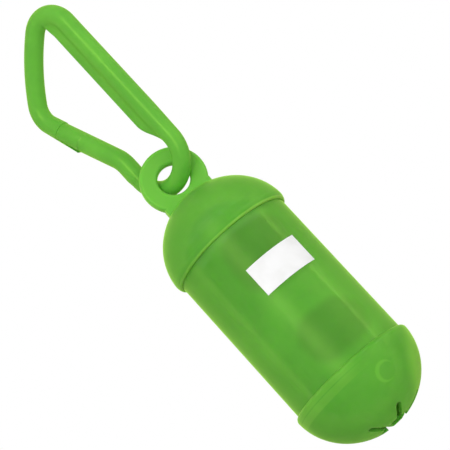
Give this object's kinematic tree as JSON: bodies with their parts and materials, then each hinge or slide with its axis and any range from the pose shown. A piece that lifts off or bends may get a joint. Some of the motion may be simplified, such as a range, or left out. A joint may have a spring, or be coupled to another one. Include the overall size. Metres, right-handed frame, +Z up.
{
  "type": "bag dispenser",
  "caption": "Translucent green capsule for a roll of pet waste bags, with a ring eye on its upper dome hung from a moulded snap hook, a pull-off slotted cap and a blank sticker",
  "frame": {"origin": "The seat inside the hook's bow: the lowest point that a lead's ring can bear on when the part hangs, on the capsule's axis.", "axes": "+Z up along the capsule's axis. The hook lies flat in the XZ plane, with its spine toward +X and its gate toward -X. The ring eye is turned 49 degrees from that plane, as in the picture."},
  "size_m": [0.0437, 0.04, 0.1602],
  "materials": {
    "green_plastic": "satin",
    "bag_film": "satin",
    "core_paper": "matte",
    "sticker": "satin"
  },
  "bodies": {
    "hook": {"hook_frame": "green_plastic"},
    "gate": {"hook_gate": "green_plastic"},
    "capsule": {"top_cap": "green_plastic", "body_tube": "green_plastic", "label": "sticker"},
    "end": {"slotted_cap": "green_plastic"},
    "roll": {"bag_roll": "bag_film", "roll_core": "core_paper"}
  },
  "joints": [
    {"name": "gate_flex", "type": "hinge", "parent": "hook", "child": "gate", "pos_m": [-0.00915, 0, -0.04672], "axis": [0, 1, 0], "range_deg": [0, 20], "stiffness_Nm_per_rad": 0.12},
    {"name": "capsule_swing", "type": "hinge", "parent": "hook", "child": "capsule", "pos_m": [0, 0, -0.06015], "axis": [0.7547, -0.6561, 0], "range_deg": [-80, 80]},
    {"name": "cap_pull", "type": "slide", "parent": "capsule", "child": "end", "axis": [0, 0, -1], "range_m": [0, 0.03]},
    {"name": "roll_spin", "type": "hinge", "parent": "end", "child": "roll", "pos_m": [0, 0, -0.1464], "axis": [0, 0, 1], "continuous": true}
  ]
}
